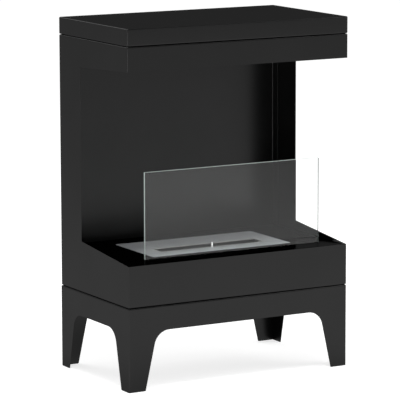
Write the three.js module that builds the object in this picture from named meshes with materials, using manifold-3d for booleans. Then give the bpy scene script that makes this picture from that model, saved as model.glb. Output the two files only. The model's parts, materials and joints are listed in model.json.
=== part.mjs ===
// Bioethanol fireplace: a black sheet-steel cabinet on a leg frame with arched cut-outs, open at the
// front and at both sides, with a drop-in stainless burner, its sliding damper and a loose glass pane.
//
// Millimetres. +Z is up, +X points to the viewer's right, the front faces -Y.
// The origin is on the floor, under the middle of the cabinet.

import * as THREE from 'three';
import { RoundedBoxGeometry } from 'three/addons/geometries/RoundedBoxGeometry.js';
import { mergeVertices } from 'three/addons/utils/BufferGeometryUtils.js';
import Module from 'manifold-3d';

const wasm = await Module();
wasm.setup();

// ---------------------------------------------------------------- driving dimensions

// Cabinet, outside
const WIDTH = 600;
const DEPTH = 346;
const LEG_FRAME_HEIGHT = 201;
const HEARTH_BOX_HEIGHT = 99;
const WINDOW_HEIGHT = 454;
const HOOD_HEIGHT = 59;
const CAP_HEIGHT = 41;

// Sheet steel
const SHEET = 1.5;
const BEND_RADIUS = 3; // outside of a fold
const LIP = 23; // folded rim that the bolts pass through
const REAR_LIP = 14; // folded rim around the back panel
const STIFFENING_FOLD = 16; // upturned or downturned edge of an inner panel
const FIT_GAP = 0.3; // between two pieces that lie against each other
const SHADOW_JOINT = 0.8; // the dark line below the cap and above the leg frame

// Side openings: the walls' cut edges slope towards the column at the back
const COLUMN_DEPTH = 109;
const HEARTH_SIDE_RISE = 24;
const HOOD_SIDE_DROP = 11;

// Legs and arches
const ARCH_HEIGHT = 141.5;
const ARCH_CORNER_RADIUS = 40;
const LEG_LEAN = 0.225; // how far a leg's inner edge leans, per unit of height
const FRONT_FOOT_WIDTH = 44;
const SIDE_FOOT_WIDTH = 39;
const FOOT_CORNER_RADIUS = 3;

// Back panel
const BACK_PANEL_FLANGE = 25;

// Hood lining
const RAIL_LEG = 18; // both legs of the angle that carries the hood's baffle
const RAIL_LENGTH = 230;
const BAFFLE_SCREW_SPACING = 160;

// Burner
const PLATE_LENGTH = 380;
const PLATE_DEPTH = 190;
const PLATE_CENTRE_Y = 5;
const PLATE_THICKNESS = 1;
const PLATE_CORNER_RADIUS = 2.5;
const SLOT_LENGTH = 280;
const SLOT_DEPTH = 41;
const SLOT_FROM_PLATE_FRONT = 49;
const SLOT_CORNER_RADIUS = 2;
const PLATE_OVERHANG = 7; // plate beyond the box that hangs under it
const BOX_DEPTH_DOWN = 78;
const BOX_BEND_RADIUS = 4;
const TANK_BEYOND_SLOT = 13; // fuel tank past each edge of the slot above it
const TANK_RIM_BELOW_PLATE = 7;
const BURNER_SHEET = 1.2;
const WOOL_HEIGHT = 46;
const CUT_OUT_CLEARANCE = 1.5; // hearth cut-out around the burner's box

// Damper: a flat slide under the plate, moved by an upright pin
const SLIDE_THICKNESS = 1.5;
const SLIDE_SIDE_OVERLAP = 7; // slide beyond each end of the slot
const SLIDE_EDGE_OVERLAP = 1.6; // slide beyond the slot's front edge when it is shut
const SLIDE_BELOW_PLATE = 0.8;
const PIN_RADIUS = 2;
const PIN_ABOVE_PLATE = 10;
const PIN_TENON_RADIUS = 1.2; // thinner end riveted into the slide
const PIN_TO_SLIDE_EDGE = 3;
const PIN_EDGE_CLEARANCE = 0.3;
const RUNNER_LEDGE = 5;

// Glass pane and the channel that it stands in
const GLASS_LENGTH = 480;
const GLASS_HEIGHT = 220;
const GLASS_THICKNESS = 5;
const GLASS_FRONT_FROM_CABINET_FRONT = 63;
const GLASS_CENTRE_X = 18.5;
const GLASS_EDGE_CHAMFER = 0.6;
const GLASS_DEPTH_IN_CHANNEL = 12.5;
const GLASS_CLEARANCE = 0.4;
const SEAL_THICKNESS = 1.2;
const CHANNEL_SHEET = 1.2;

// Fasteners
const BOLT = { shank: 3, head: 5.4, headHeight: 3.2, nut: 5.5, nutHeight: 5 };
const SCREW = { shank: 2, head: 3.8, headHeight: 2.2 };
const BOLT_HOLE_CLEARANCE = 0.4;
const BOLT_TIP = 2; // thread past the nut
const BOLT_FROM_SIDE = 90; // from a side wall to the bolts next to it

// ---------------------------------------------------------------- derived places

const LEFT = -WIDTH / 2;
const RIGHT = WIDTH / 2;
const FRONT = -DEPTH / 2;
const BACK = DEPTH / 2;

const bodyBottom = LEG_FRAME_HEIGHT;
const hearthTop = bodyBottom + HEARTH_BOX_HEIGHT;
const hoodBottom = hearthTop + WINDOW_HEIGHT;
const capBottom = hoodBottom + HOOD_HEIGHT;
const capTop = capBottom + CAP_HEIGHT;
const columnFront = BACK - COLUMN_DEPTH;

// Space between the cabinet's walls that an inner panel fills
const inner = {
  x0: LEFT + SHEET + FIT_GAP,
  x1: RIGHT - SHEET - FIT_GAP,
  y0: FRONT + SHEET + FIT_GAP,
  y1: BACK - 2 * SHEET - 2 * FIT_GAP,
};
const backPanelRear = BACK - SHEET - FIT_GAP;
const backPanelFlangeFront = backPanelRear - BACK_PANEL_FLANGE;

const plate = {
  x0: -PLATE_LENGTH / 2,
  x1: PLATE_LENGTH / 2,
  y0: PLATE_CENTRE_Y - PLATE_DEPTH / 2,
  y1: PLATE_CENTRE_Y + PLATE_DEPTH / 2,
  z0: hearthTop + FIT_GAP,
  z1: hearthTop + FIT_GAP + PLATE_THICKNESS,
};
const slot = {
  x0: -SLOT_LENGTH / 2,
  x1: SLOT_LENGTH / 2,
  y0: plate.y0 + SLOT_FROM_PLATE_FRONT,
  y1: plate.y0 + SLOT_FROM_PLATE_FRONT + SLOT_DEPTH,
};
const box = {
  x0: plate.x0 + PLATE_OVERHANG,
  x1: plate.x1 - PLATE_OVERHANG,
  y0: plate.y0 + PLATE_OVERHANG,
  y1: plate.y1 - PLATE_OVERHANG,
  z0: plate.z0 - FIT_GAP - BOX_DEPTH_DOWN,
  z1: plate.z0 - FIT_GAP,
};
const tank = {
  x0: slot.x0 - TANK_BEYOND_SLOT,
  x1: slot.x1 + TANK_BEYOND_SLOT,
  y0: slot.y0 - TANK_BEYOND_SLOT,
  y1: slot.y1 + TANK_BEYOND_SLOT,
  z0: box.z0 + BURNER_SHEET + FIT_GAP,
  z1: plate.z0 - TANK_RIM_BELOW_PLATE,
};
const pinY = slot.y0 + PIN_RADIUS + PIN_EDGE_CLEARANCE;
const damperTravel = SLOT_DEPTH - 2 * (PIN_RADIUS + PIN_EDGE_CLEARANCE);
const slide = {
  x0: slot.x0 - SLIDE_SIDE_OVERLAP,
  x1: slot.x1 + SLIDE_SIDE_OVERLAP,
  y0: slot.y0 - SLIDE_EDGE_OVERLAP - damperTravel,
  y1: pinY + PIN_TO_SLIDE_EDGE,
  z0: plate.z0 - SLIDE_BELOW_PLATE - SLIDE_THICKNESS,
  z1: plate.z0 - SLIDE_BELOW_PLATE,
};
const glass = {
  x0: GLASS_CENTRE_X - GLASS_LENGTH / 2,
  x1: GLASS_CENTRE_X + GLASS_LENGTH / 2,
  y0: FRONT + GLASS_FRONT_FROM_CABINET_FRONT,
  y1: FRONT + GLASS_FRONT_FROM_CABINET_FRONT + GLASS_THICKNESS,
  z0: hearthTop - GLASS_DEPTH_IN_CHANNEL,
  z1: hearthTop - GLASS_DEPTH_IN_CHANNEL + GLASS_HEIGHT,
};

// ---------------------------------------------------------------- solids and outlines

const WELD = 1e-4;

/** A closed three.js geometry as a solid that can be joined and cut. */
function solid(geometry) {
  const bare = new THREE.BufferGeometry();
  bare.setAttribute('position', geometry.getAttribute('position'));
  bare.setIndex(geometry.getIndex());
  const welded = mergeVertices(bare, WELD);
  return new wasm.Manifold(new wasm.Mesh({
    numProp: 3,
    vertProperties: new Float32Array(welded.getAttribute('position').array),
    triVerts: new Uint32Array(welded.getIndex().array),
  }));
}

/** A solid back as a three.js geometry with flat faces. */
function geometryOf(body) {
  const mesh = body.getMesh();
  const geometry = new THREE.BufferGeometry();
  geometry.setAttribute('position', new THREE.BufferAttribute(new Float32Array(mesh.vertProperties), 3));
  geometry.setIndex(new THREE.BufferAttribute(new Uint32Array(mesh.triVerts), 1));
  const faceted = geometry.toNonIndexed();
  faceted.computeVertexNormals();
  return faceted;
}

/** A box between two corners. */
function block({ x0, x1, y0, y1, z0, z1 }) {
  const geometry = new THREE.BoxGeometry(x1 - x0, y1 - y0, z1 - z0);
  geometry.translate((x0 + x1) / 2, (y0 + y1) / 2, (z0 + z1) / 2);
  return solid(geometry);
}

/** A box with every edge rounded. */
function roundedBlock({ x0, x1, y0, y1, z0, z1 }, radius, segments = 2) {
  const geometry = new RoundedBoxGeometry(x1 - x0, y1 - y0, z1 - z0, segments, radius);
  geometry.translate((x0 + x1) / 2, (y0 + y1) / 2, (z0 + z1) / 2);
  return solid(geometry);
}

/** A hollow box of folded sheet: rounded outside, and rounded inside by what the sheet leaves. */
function foldedShell(size, sheet, radius) {
  const hollow = {
    x0: size.x0 + sheet,
    x1: size.x1 - sheet,
    y0: size.y0 + sheet,
    y1: size.y1 - sheet,
    z0: size.z0 + sheet,
    z1: size.z1 - sheet,
  };
  const insideRadius = Math.max(radius - sheet, sheet / 5);
  return roundedBlock(size, radius).subtract(roundedBlock(hollow, insideRadius, 1));
}

/** A closed outline through corners [x, y, radius], with an arc in each corner that has a radius. */
function outline(corners) {
  const shape = new THREE.Shape();
  corners.forEach(([x, y, radius = 0], i) => {
    const corner = new THREE.Vector2(x, y);
    const [px, py] = corners[(i + corners.length - 1) % corners.length];
    const [nx, ny] = corners[(i + 1) % corners.length];
    const toPrevious = new THREE.Vector2(px, py).sub(corner).normalize();
    const toNext = new THREE.Vector2(nx, ny).sub(corner).normalize();
    const halfAngle = Math.acos(THREE.MathUtils.clamp(toPrevious.dot(toNext), -1, 1)) / 2;
    const reach = radius / Math.tan(halfAngle);
    const start = corner.clone().addScaledVector(toPrevious, reach);
    const end = corner.clone().addScaledVector(toNext, reach);
    if (i === 0) shape.moveTo(start.x, start.y);
    else shape.lineTo(start.x, start.y);
    if (radius > 0) {
      const bisector = toPrevious.clone().add(toNext).normalize();
      const centre = corner.clone().addScaledVector(bisector, radius / Math.sin(halfAngle));
      const from = Math.atan2(start.y - centre.y, start.x - centre.x);
      const to = Math.atan2(end.y - centre.y, end.x - centre.x);
      shape.absarc(centre.x, centre.y, radius, from, to, toPrevious.cross(toNext) > 0);
    }
  });
  shape.closePath();
  return shape;
}

/** Axes that carry an outline drawn in (first, second) along the third of three row axes. */
const PRISM_AXES = {
  x: [new THREE.Vector3(0, 1, 0), new THREE.Vector3(0, 0, 1), new THREE.Vector3(1, 0, 0)],
  y: [new THREE.Vector3(1, 0, 0), new THREE.Vector3(0, 0, 1), new THREE.Vector3(0, -1, 0)],
  z: [new THREE.Vector3(1, 0, 0), new THREE.Vector3(0, 1, 0), new THREE.Vector3(0, 0, 1)],
};

/** A prism: an outline in the plane square to an axis, from one place on that axis to another. */
function prismGeometry(axis, shape, from, to, curveSegments = 3) {
  const geometry = new THREE.ExtrudeGeometry(shape, { depth: to - from, bevelEnabled: false, curveSegments });
  const [first, second, along] = PRISM_AXES[axis];
  geometry.applyMatrix4(new THREE.Matrix4().makeBasis(first, second, along));
  const start = axis === 'y' ? to : from;
  geometry.translate(axis === 'x' ? start : 0, axis === 'y' ? start : 0, axis === 'z' ? start : 0);
  return geometry;
}

function prism(axis, shape, from, to, curveSegments) {
  return solid(prismGeometry(axis, shape, from, to, curveSegments));
}

/** A rectangle with rounded corners. */
function rectangle(x0, x1, y0, y1, radius = 0) {
  return outline([[x0, y0, radius], [x1, y0, radius], [x1, y1, radius], [x0, y1, radius]]);
}

/** The section of a sheet folded once: a horizontal leg and a vertical leg from one corner. */
function angleSection(x, y, alongX, alongY, sheet, radius) {
  const sx = Math.sign(alongX);
  const sy = Math.sign(alongY);
  return outline([
    [x, y, radius],
    [x + alongX, y],
    [x + alongX, y + sy * sheet],
    [x + sx * sheet, y + sy * sheet, Math.max(radius - sheet, sheet / 5)],
    [x + sx * sheet, y + alongY],
    [x, y + alongY],
  ]);
}

/** The section of a sheet folded twice: a web between x0 and x1 with two flanges of a given length. */
function channelSection(x0, x1, y, flange, sheet, radius) {
  const sy = Math.sign(flange);
  const insideRadius = Math.max(radius - sheet, sheet / 5);
  return outline([
    [x0, y, radius],
    [x1, y, radius],
    [x1, y + flange],
    [x1 - sheet, y + flange],
    [x1 - sheet, y + sy * sheet, insideRadius],
    [x0 + sheet, y + sy * sheet, insideRadius],
    [x0 + sheet, y + flange],
    [x0, y + flange],
  ]);
}

/** Joins a list of solids that don't touch or that meet. */
function joined(solids) {
  return solids.reduce((sum, next) => sum.add(next));
}

const ROUND_SIDES = 12;
const PAST = 10; // how far a cutter runs past the face that it cuts

/** A round cutter along Z. */
function drill(x, y, z0, z1, radius) {
  const geometry = new THREE.CylinderGeometry(radius, radius, z1 - z0, ROUND_SIDES);
  geometry.rotateX(Math.PI / 2);
  geometry.translate(x, y, (z0 + z1) / 2);
  return solid(geometry);
}

/** A turned piece about a vertical axis, from a profile of [radius, z] that starts and ends on it. */
function turned(x, y, profile, sides = ROUND_SIDES) {
  const points = profile.map(([radius, z]) => new THREE.Vector2(radius, z));
  const geometry = new THREE.LatheGeometry(points, sides);
  geometry.rotateX(Math.PI / 2);
  geometry.translate(x, y, 0);
  return solid(geometry);
}

// ---------------------------------------------------------------- materials

function finish(color, roughness, metalness, extra = {}) {
  return () => new THREE.MeshStandardMaterial({ color, roughness, metalness, ...extra });
}

const powderCoat = finish(0x1c1c1c, 0.42, 0.0);
const hearthCoat = finish(0x0c0c0c, 0.12, 0.0);
const stainless = finish(0x9c9894, 0.28, 1.0);
const zincSteel = finish(0x8f9296, 0.4, 1.0);
const clearGlass = finish(0xdfeee8, 0.05, 0.0, { transparent: true, opacity: 0.3 });
const siliconeRubber = finish(0x161616, 0.8, 0.0);
const ceramicFibre = finish(0xe9e4da, 0.95, 0.0);

const fireplace = new THREE.Group();

function addPiece(name, shape, material) {
  const geometry = shape.isBufferGeometry ? shape : geometryOf(shape);
  const mesh = new THREE.Mesh(geometry, material());
  mesh.name = name;
  fireplace.add(mesh);
}

// ---------------------------------------------------------------- fastener places

/** Four places in a rectangle about the middle, named by where they are. */
function fourPlaces(x, y) {
  return [
    { name: 'front_left', x: -x, y: -y },
    { name: 'front_right', x, y: -y },
    { name: 'rear_left', x: -x, y },
    { name: 'rear_right', x, y },
  ];
}

const boltPlaces = fourPlaces(RIGHT - BOLT_FROM_SIDE, BACK - SHEET - LIP / 2);

function boltHoles(z0, z1) {
  return joined(boltPlaces.map(({ x, y }) => drill(x, y, z0, z1, BOLT.shank + BOLT_HOLE_CLEARANCE)));
}

/** Pan-head bolt from below, its head under z0, long enough for a nut that sits on z1. */
function bolt({ x, y }, z0, z1) {
  const headTop = z0 - FIT_GAP;
  const headEdge = headTop - BOLT.headHeight * 0.45;
  const tip = z1 + FIT_GAP + BOLT.nutHeight + BOLT_TIP;
  return turned(x, y, [
    [0, headTop - BOLT.headHeight],
    [BOLT.head * 0.6, headTop - BOLT.headHeight],
    [BOLT.head, headEdge],
    [BOLT.head, headTop],
    [BOLT.shank, headTop],
    [BOLT.shank, tip - BOLT.shank / 4],
    [BOLT.shank * 0.75, tip],
    [0, tip],
  ]);
}

/** Hexagon nut standing on z. */
function nut({ x, y }, z) {
  const hexagon = new THREE.CylinderGeometry(BOLT.nut, BOLT.nut, BOLT.nutHeight, 6);
  hexagon.rotateX(Math.PI / 2);
  hexagon.translate(x, y, z + FIT_GAP + BOLT.nutHeight / 2);
  const top = z + FIT_GAP + BOLT.nutHeight;
  return solid(hexagon).subtract(drill(x, y, z - PAST, top + PAST, BOLT.shank + FIT_GAP));
}

// ---------------------------------------------------------------- leg frame

/** The arch between two legs, as a cutter's outline: half the clear span at the floor, on each side. */
function archOutline(halfSpan) {
  const halfTop = halfSpan - LEG_LEAN * ARCH_HEIGHT;
  return outline([
    [-halfSpan - PAST, -PAST],
    [halfSpan + PAST, -PAST],
    [halfSpan + PAST, 0],
    [halfSpan, 0, FOOT_CORNER_RADIUS],
    [halfTop, ARCH_HEIGHT, ARCH_CORNER_RADIUS],
    [-halfTop, ARCH_HEIGHT, ARCH_CORNER_RADIUS],
    [-halfSpan, 0, FOOT_CORNER_RADIUS],
    [-halfSpan - PAST, 0],
  ]);
}

const frontArch = archOutline(WIDTH / 2 - FRONT_FOOT_WIDTH);
const sideArch = archOutline(DEPTH / 2 - SIDE_FOOT_WIDTH);
const ARCH_SEGMENTS = 4;
const legTop = LEG_FRAME_HEIGHT - SHADOW_JOINT;

/** Front and side aprons with the four legs, folded from one sheet and open at the rear. */
function legFrame() {
  const shell = foldedShell(
    { x0: LEFT, x1: RIGHT, y0: FRONT, y1: BACK + PAST, z0: -PAST, z1: legTop }, SHEET, BEND_RADIUS);
  const everywhere = { x0: LEFT - PAST, x1: RIGHT + PAST, y0: FRONT - PAST, y1: BACK + 2 * PAST };
  const below = block({ ...everywhere, z0: -2 * PAST, z1: 0 });
  const behind = block({ ...everywhere, y0: BACK, z0: -2 * PAST, z1: legTop + PAST });
  const middle = block({
    x0: LEFT + SHEET + LIP, x1: RIGHT - SHEET - LIP, y0: FRONT + SHEET + LIP, y1: BACK + PAST,
    z0: legTop - PAST, z1: legTop + PAST,
  });
  const rearOfLips = block({
    x0: inner.x0 - FIT_GAP, x1: inner.x1 + FIT_GAP, y0: BACK - SHEET - FIT_GAP, y1: BACK + PAST,
    z0: legTop - PAST, z1: legTop + PAST,
  });
  return shell
    .subtract(below)
    .subtract(behind)
    .subtract(middle)
    .subtract(rearOfLips)
    .subtract(prism('y', frontArch, FRONT - PAST, 0, ARCH_SEGMENTS))
    .subtract(prism('x', sideArch, LEFT - PAST, RIGHT + PAST, ARCH_SEGMENTS))
    .subtract(boltHoles(legTop - PAST, legTop + PAST));
}

/** Rear apron with its half of each rear leg, between the side aprons. */
function rearApron() {
  const section = angleSection(BACK, legTop, -SHEET - LIP, -legTop, SHEET, BEND_RADIUS);
  const lipEnd = SHEET + LIP + FIT_GAP;
  const lipBack = BACK - SHEET - FIT_GAP;
  const cornerNotch = { y0: FRONT, y1: lipBack, z0: legTop - PAST, z1: legTop + PAST };
  return prism('x', section, inner.x0, inner.x1)
    .subtract(block({ ...cornerNotch, x0: LEFT, x1: LEFT + lipEnd }))
    .subtract(block({ ...cornerNotch, x0: RIGHT - lipEnd, x1: RIGHT }))
    .subtract(prism('y', frontArch, 0, BACK + PAST, ARCH_SEGMENTS))
    .subtract(boltHoles(legTop - PAST, legTop + PAST));
}

// ---------------------------------------------------------------- cabinet

const bodyTop = capBottom - SHADOW_JOINT;

/** Side walls, hearth front and hood front: one sheet folded around the two front corners. */
function bodyShell() {
  const shell = foldedShell(
    { x0: LEFT, x1: RIGHT, y0: FRONT, y1: BACK, z0: bodyBottom, z1: bodyTop }, SHEET, BEND_RADIUS);
  const lipOpening = {
    x0: LEFT + SHEET + LIP, x1: RIGHT - SHEET - LIP, y0: FRONT + SHEET + LIP, y1: BACK - SHEET - LIP,
  };
  const sideWindow = outline([
    [FRONT - PAST, hearthTop],
    [FRONT, hearthTop],
    [columnFront, hearthTop + HEARTH_SIDE_RISE],
    [columnFront, hoodBottom - HOOD_SIDE_DROP],
    [FRONT, hoodBottom],
    [FRONT - PAST, hoodBottom],
  ]);
  const rearOpening = {
    x0: LEFT + SHEET + REAR_LIP, x1: RIGHT - SHEET - REAR_LIP, y0: BACK - PAST, y1: BACK + PAST,
    z0: bodyBottom + SHEET + REAR_LIP, z1: bodyTop - SHEET - REAR_LIP,
  };
  return shell
    .subtract(block({ ...lipOpening, z0: bodyBottom - PAST, z1: bodyBottom + PAST }))
    .subtract(block({ ...lipOpening, z0: bodyTop - PAST, z1: bodyTop + PAST }))
    .subtract(block(rearOpening))
    .subtract(prism('x', sideWindow, LEFT - PAST, RIGHT + PAST))
    .subtract(boltHoles(bodyBottom - PAST, bodyBottom + PAST))
    .subtract(boltHoles(bodyTop - PAST, bodyTop + PAST));
}

/** Flat back with both upright edges folded forwards along the side walls. */
function backPanel() {
  const section = channelSection(inner.x0, inner.x1, backPanelRear, -BACK_PANEL_FLANGE, SHEET, BEND_RADIUS);
  return prism('z', section, bodyBottom + BEND_RADIUS, bodyTop - BEND_RADIUS);
}

/** Clearance in an inner panel's rear corners for the back panel's folded edges. */
function withoutRearCorners(panel, z0, z1) {
  const corner = { y0: backPanelFlangeFront - FIT_GAP, y1: BACK, z0, z1 };
  return panel
    .subtract(block({ ...corner, x0: LEFT, x1: inner.x0 + BEND_RADIUS }))
    .subtract(block({ ...corner, x0: inner.x1 - BEND_RADIUS, x1: RIGHT }));
}

/** A panel with all four edges folded to one side: upwards, or downwards. */
function foldedPanel(face, foldUp) {
  const z0 = foldUp ? face : face - STIFFENING_FOLD;
  const z1 = foldUp ? face + STIFFENING_FOLD : face;
  const reach = { z0: z0 - PAST, z1: z1 + PAST };
  const shell = foldUp
    ? foldedShell({ ...inner, z0, z1: z1 + PAST }, SHEET, BEND_RADIUS)
      .subtract(block({ ...inner, z0: z1, z1: z1 + 2 * PAST }))
    : foldedShell({ ...inner, z0: z0 - PAST, z1 }, SHEET, BEND_RADIUS)
      .subtract(block({ ...inner, z0: z0 - 2 * PAST, z1: z0 }));
  return withoutRearCorners(shell, reach.z0, reach.z1);
}

const bottomPanelFace = bodyBottom + SHEET + FIT_GAP;

/** Closes the hearth box underneath; the leg bolts pass through it. */
function bottomPanel() {
  return foldedPanel(bottomPanelFace, true).subtract(boltHoles(bodyBottom, bottomPanelFace + PAST));
}

/** The hearth: level with the front panel's top edge, with the burner's cut-out and the pane's slot. */
function hearthPlate() {
  const slotClearance = GLASS_CLEARANCE;
  return foldedPanel(hearthTop, false)
    .subtract(block({
      x0: box.x0 - CUT_OUT_CLEARANCE, x1: box.x1 + CUT_OUT_CLEARANCE,
      y0: box.y0 - CUT_OUT_CLEARANCE, y1: box.y1 + CUT_OUT_CLEARANCE,
      z0: hearthTop - PAST, z1: hearthTop + PAST,
    }))
    .subtract(block({
      x0: glass.x0 - slotClearance, x1: glass.x1 + slotClearance,
      y0: glass.y0 - slotClearance, y1: glass.y1 + slotClearance,
      z0: hearthTop - PAST, z1: hearthTop + PAST,
    }));
}

// Hood lining: a baffle screwed from below to two angles on the side walls
const baffleTop = hoodBottom + SHEET;
const railBottom = baffleTop + FIT_GAP;
const baffleScrewX = inner.x1 - RAIL_LEG / 2 - SHEET;
const baffleScrewPlaces = fourPlaces(baffleScrewX, BAFFLE_SCREW_SPACING / 2);

function baffleScrewHoles(z0, z1) {
  return joined(baffleScrewPlaces.map(({ x, y }) => drill(x, y, z0, z1, SCREW.shank + BOLT_HOLE_CLEARANCE)));
}

/** Ceiling of the fire chamber: front and rear edges folded up. */
function hoodBaffle() {
  const section = channelSection(inner.y0, inner.y1, hoodBottom, STIFFENING_FOLD, SHEET, BEND_RADIUS);
  const panel = prism('x', section, LEFT + BEND_RADIUS, RIGHT - BEND_RADIUS);
  return withoutRearCorners(panel, hoodBottom - PAST, hoodBottom + STIFFENING_FOLD + PAST)
    .subtract(baffleScrewHoles(hoodBottom - PAST, hoodBottom + PAST));
}

/** Angle on one side wall; side is -1 on the left and 1 on the right. */
function baffleRail(side) {
  const wall = side * (inner.x1);
  const section = angleSection(wall, railBottom, -side * RAIL_LEG, RAIL_LEG, SHEET, BEND_RADIUS);
  return prism('y', section, -RAIL_LENGTH / 2, RAIL_LENGTH / 2)
    .subtract(baffleScrewHoles(railBottom - PAST, railBottom + PAST));
}

/** Self-tapping screw that holds the baffle up. */
function baffleScrew({ x, y }) {
  const headTop = hoodBottom - FIT_GAP;
  const tip = railBottom + SHEET + 4 * SCREW.shank;
  return turned(x, y, [
    [0, headTop - SCREW.headHeight],
    [SCREW.head * 0.65, headTop - SCREW.headHeight],
    [SCREW.head, headTop - SCREW.headHeight * 0.4],
    [SCREW.head, headTop],
    [SCREW.shank, headTop],
    [SCREW.shank, tip - SCREW.shank],
    [0, tip],
  ]);
}

/** The lid: a shallow tray turned upside down, its lower edges folded in to meet the body's rim. */
function topCap() {
  const shell = foldedShell(
    { x0: LEFT, x1: RIGHT, y0: FRONT, y1: BACK, z0: capBottom, z1: capTop }, SHEET, BEND_RADIUS);
  return shell
    .subtract(block({
      x0: LEFT + SHEET + LIP, x1: RIGHT - SHEET - LIP, y0: FRONT + SHEET + LIP, y1: BACK - SHEET - LIP,
      z0: capBottom - PAST, z1: capBottom + PAST,
    }))
    .subtract(boltHoles(capBottom - PAST, capBottom + PAST));
}

addPiece('leg_frame', legFrame(), powderCoat);
addPiece('leg_frame_rear_apron', rearApron(), powderCoat);
addPiece('body_shell', bodyShell(), powderCoat);
addPiece('back_panel', backPanel(), powderCoat);
addPiece('bottom_panel', bottomPanel(), powderCoat);
addPiece('hearth_plate', hearthPlate(), hearthCoat);
addPiece('hood_baffle', hoodBaffle(), powderCoat);
addPiece('baffle_rail_left', baffleRail(-1), powderCoat);
addPiece('baffle_rail_right', baffleRail(1), powderCoat);
addPiece('top_cap', topCap(), powderCoat);

for (const place of boltPlaces) {
  addPiece(`leg_bolt_${place.name}`, bolt(place, legTop - SHEET, bottomPanelFace + SHEET), zincSteel);
  addPiece(`leg_nut_${place.name}`, nut(place, bottomPanelFace + SHEET), zincSteel);
  addPiece(`cap_bolt_${place.name}`, bolt(place, bodyTop - SHEET, capBottom + SHEET), zincSteel);
  addPiece(`cap_nut_${place.name}`, nut(place, capBottom + SHEET), zincSteel);
}
for (const place of baffleScrewPlaces) {
  addPiece(`baffle_screw_${place.name}`, baffleScrew(place), zincSteel);
}

// ---------------------------------------------------------------- burner

/** Stainless cover plate with the long fuel slot. */
function burnerPlate() {
  const shape = rectangle(plate.x0, plate.x1, plate.y0, plate.y1, PLATE_CORNER_RADIUS);
  shape.holes.push(rectangle(slot.x0, slot.x1, slot.y0, slot.y1, SLOT_CORNER_RADIUS));
  return prismGeometry('z', shape, plate.z0, plate.z1, 2);
}

/** A box open at the top, folded from thin sheet. */
function openBox(size, sheet, radius) {
  return foldedShell({ ...size, z1: size.z1 + 2 * radius }, sheet, radius)
    .subtract(block({ ...size, z0: size.z1, z1: size.z1 + 4 * radius }));
}

/** Ceramic-fibre block that soaks up the fuel. */
function ceramicWool() {
  const side = BURNER_SHEET + FIT_GAP;
  return roundedBlock({
    x0: tank.x0 + side, x1: tank.x1 - side,
    y0: tank.y0 + side, y1: tank.y1 - side,
    z0: tank.z0 + side, z1: tank.z0 + side + WOOL_HEIGHT,
  }, BOX_BEND_RADIUS);
}

/** Runner at one end of the slide: hangs from the plate and carries the slide on its ledge. */
function damperRunner(side) {
  const web = side > 0 ? slide.x1 + FIT_GAP + BURNER_SHEET : slide.x0 - FIT_GAP - BURNER_SHEET;
  const ledge = slide.z0 - FIT_GAP - BURNER_SHEET;
  const drop = plate.z0 - FIT_GAP - ledge;
  const section = angleSection(
    web, ledge, -side * (RUNNER_LEDGE + BURNER_SHEET), drop, BURNER_SHEET, BURNER_SHEET);
  return prism('y', section, slide.y0, slide.y1 + damperTravel);
}

/** Flat slide with the hole for its pin. */
function damperSlide() {
  const shape = rectangle(slide.x0, slide.x1, slide.y0, slide.y1, SLOT_CORNER_RADIUS);
  const hole = new THREE.Path();
  hole.absarc(0, pinY, PIN_TENON_RADIUS + FIT_GAP, 0, 2 * Math.PI, true);
  shape.holes.push(hole);
  return prismGeometry('z', shape, slide.z0, slide.z1, ROUND_SIDES / 2);
}

/** Upright pin, riveted through the slide, with a small chamfer at its top. */
function damperPin() {
  const shoulder = slide.z1 + FIT_GAP;
  const top = plate.z1 + PIN_ABOVE_PLATE;
  const chamfer = PIN_RADIUS / 4;
  return turned(0, pinY, [
    [0, slide.z0],
    [PIN_TENON_RADIUS, slide.z0],
    [PIN_TENON_RADIUS, shoulder],
    [PIN_RADIUS, shoulder],
    [PIN_RADIUS, top - chamfer],
    [PIN_RADIUS - chamfer, top],
    [0, top],
  ]);
}

addPiece('burner_plate', burnerPlate(), stainless);
addPiece('burner_box', openBox(box, BURNER_SHEET, BOX_BEND_RADIUS), stainless);
addPiece('fuel_tank', openBox(tank, BURNER_SHEET, BOX_BEND_RADIUS), stainless);
addPiece('ceramic_wool', ceramicWool(), ceramicFibre);
addPiece('damper_runner_left', damperRunner(-1), stainless);
addPiece('damper_runner_right', damperRunner(1), stainless);
addPiece('damper_slide', damperSlide(), stainless);
addPiece('damper_pin', damperPin(), stainless);

// ---------------------------------------------------------------- glass pane

/** Toughened pane with a fine chamfer along its upright and top edges. */
function glassPane() {
  const c = GLASS_EDGE_CHAMFER;
  const section = outline([
    [glass.x0 + c, glass.y0],
    [glass.x1 - c, glass.y0],
    [glass.x1, glass.y0 + c],
    [glass.x1, glass.y1 - c],
    [glass.x1 - c, glass.y1],
    [glass.x0 + c, glass.y1],
    [glass.x0, glass.y1 - c],
    [glass.x0, glass.y0 + c],
  ]);
  const side = outline([
    [glass.y0, glass.z0],
    [glass.y1, glass.z0],
    [glass.y1, glass.z1 - c],
    [glass.y1 - c, glass.z1],
    [glass.y0 + c, glass.z1],
    [glass.y0, glass.z1 - c],
  ]);
  return prism('z', section, glass.z0, glass.z1).intersect(prism('x', side, glass.x0, glass.x1));
}

const sealOutside = GLASS_CLEARANCE + SEAL_THICKNESS;
const channelInside = sealOutside + FIT_GAP;
const channelTop = hearthTop - SHEET - FIT_GAP;
const sealBottom = glass.z0 - FIT_GAP - SEAL_THICKNESS;

/** Channel welded under the hearth's slot. */
function glassChannel() {
  const bottom = sealBottom - FIT_GAP - CHANNEL_SHEET;
  const section = channelSection(
    glass.y0 - channelInside - CHANNEL_SHEET, glass.y1 + channelInside + CHANNEL_SHEET,
    bottom, channelTop - bottom, CHANNEL_SHEET, CHANNEL_SHEET);
  return prism('x', section, glass.x0 - FIT_GAP, glass.x1 + FIT_GAP);
}

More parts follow.
